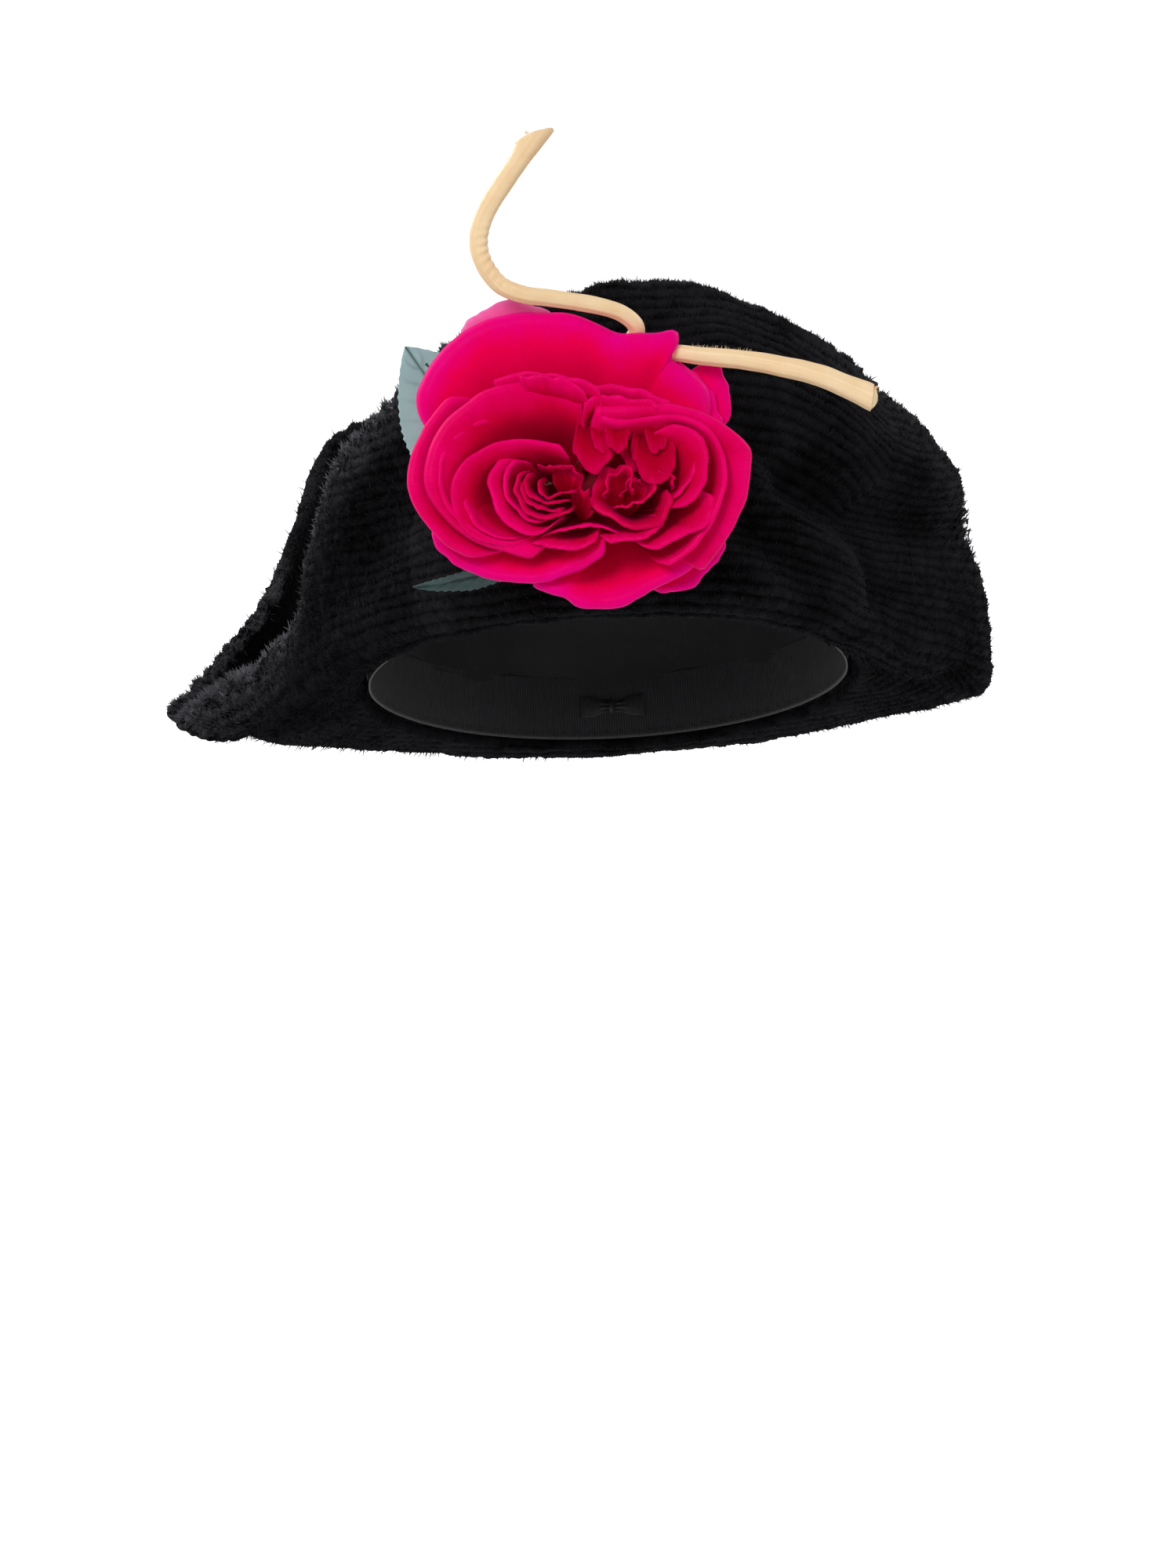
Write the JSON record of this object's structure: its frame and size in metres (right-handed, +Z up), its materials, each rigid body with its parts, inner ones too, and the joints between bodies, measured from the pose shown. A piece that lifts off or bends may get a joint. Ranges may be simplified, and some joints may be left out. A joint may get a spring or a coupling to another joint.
{
  "type": "bicorne hat",
  "caption": "Black ribbed plush hat with its brim turned up front and back to two points, a large silk rose with two leaves sewn on the front, and two stripped quills.",
  "frame": {"origin": "centre of the oval head opening, on its lower edge", "axes": "worn pose: +Z up, -Y the front of the hat, +X the hat's right point as seen from the front; the head opening is tipped back 29 degrees and 3 degrees to one side"},
  "size_m": [0.2669, 0.2827, 0.2421],
  "materials": {
    "plush": "deep ribbed pile, matt black",
    "buckram": "stiffened open weave",
    "lining_silk": "smooth satin",
    "ribbon": "ribbed grosgrain",
    "felt": "felt",
    "outer_silk": "dyed silk, satin sheen",
    "rose_silk": "dyed silk, soft sheen",
    "leaf_cloth": "stiffened cotton",
    "leaf_wire": "paper covered wire",
    "stamen_thread": "waxed thread",
    "thread": "sewing thread",
    "stem_tape": "florist tape",
    "quill": "stripped feather quill, waxy"
  },
  "bodies": {
    "root": {"back_brim_face": "plush", "back_brim_interlining": "buckram", "back_brim_lining": "plush", "crown_foundation": "buckram", "crown_side": "plush", "crown_tip": "plush", "front_brim_face": "plush", "front_brim_interlining": "buckram", "front_brim_lining": "plush", "leaf_left": "leaf_cloth", "leaf_left_wire": "leaf_wire", "leaf_lower": "leaf_cloth", "leaf_lower_wire": "leaf_wire", "lining_side": "lining_silk", "lining_tip": "lining_silk", "petal_back_top": "outer_silk", "petal_bottom": "outer_silk", "petal_core_1": "rose_silk", "petal_core_2": "rose_silk", "petal_core_3": "rose_silk", "petal_far_right": "outer_silk", "petal_left_1": "rose_silk", "petal_left_2": "rose_silk", "petal_left_3": "rose_silk", "petal_left_4": "rose_silk", "petal_left_5": "rose_silk", "petal_left_6": "rose_silk", "petal_left_7": "rose_silk", "petal_left_swirl_1": "rose_silk", "petal_left_swirl_2": "rose_silk", "petal_left_swirl_3": "rose_silk", "petal_lower_1": "rose_silk", "petal_lower_2": "rose_silk", "petal_lower_3": "rose_silk", "petal_lower_left": "outer_silk", "petal_lower_right": "outer_silk", "petal_right_1": "rose_silk", "petal_right_2": "rose_silk", "petal_right_3": "rose_silk", "petal_right_4": "rose_silk", "petal_right_5": "rose_silk", "petal_right_swirl_1": "rose_silk", "petal_right_swirl_2": "rose_silk", "petal_right_swirl_3": "rose_silk", "petal_upper": "outer_silk", "petal_upper_right": "outer_silk", "quill_curled": "quill", "quill_straight": "quill", "rose_felt": "felt", "rose_receptacle": "leaf_cloth", "rose_stamens": "stamen_thread", "rose_stitches": "thread", "stem_binding": "stem_tape", "sweatband": "ribbon", "sweatband_bow": "ribbon"}
  },
  "joints": []
}
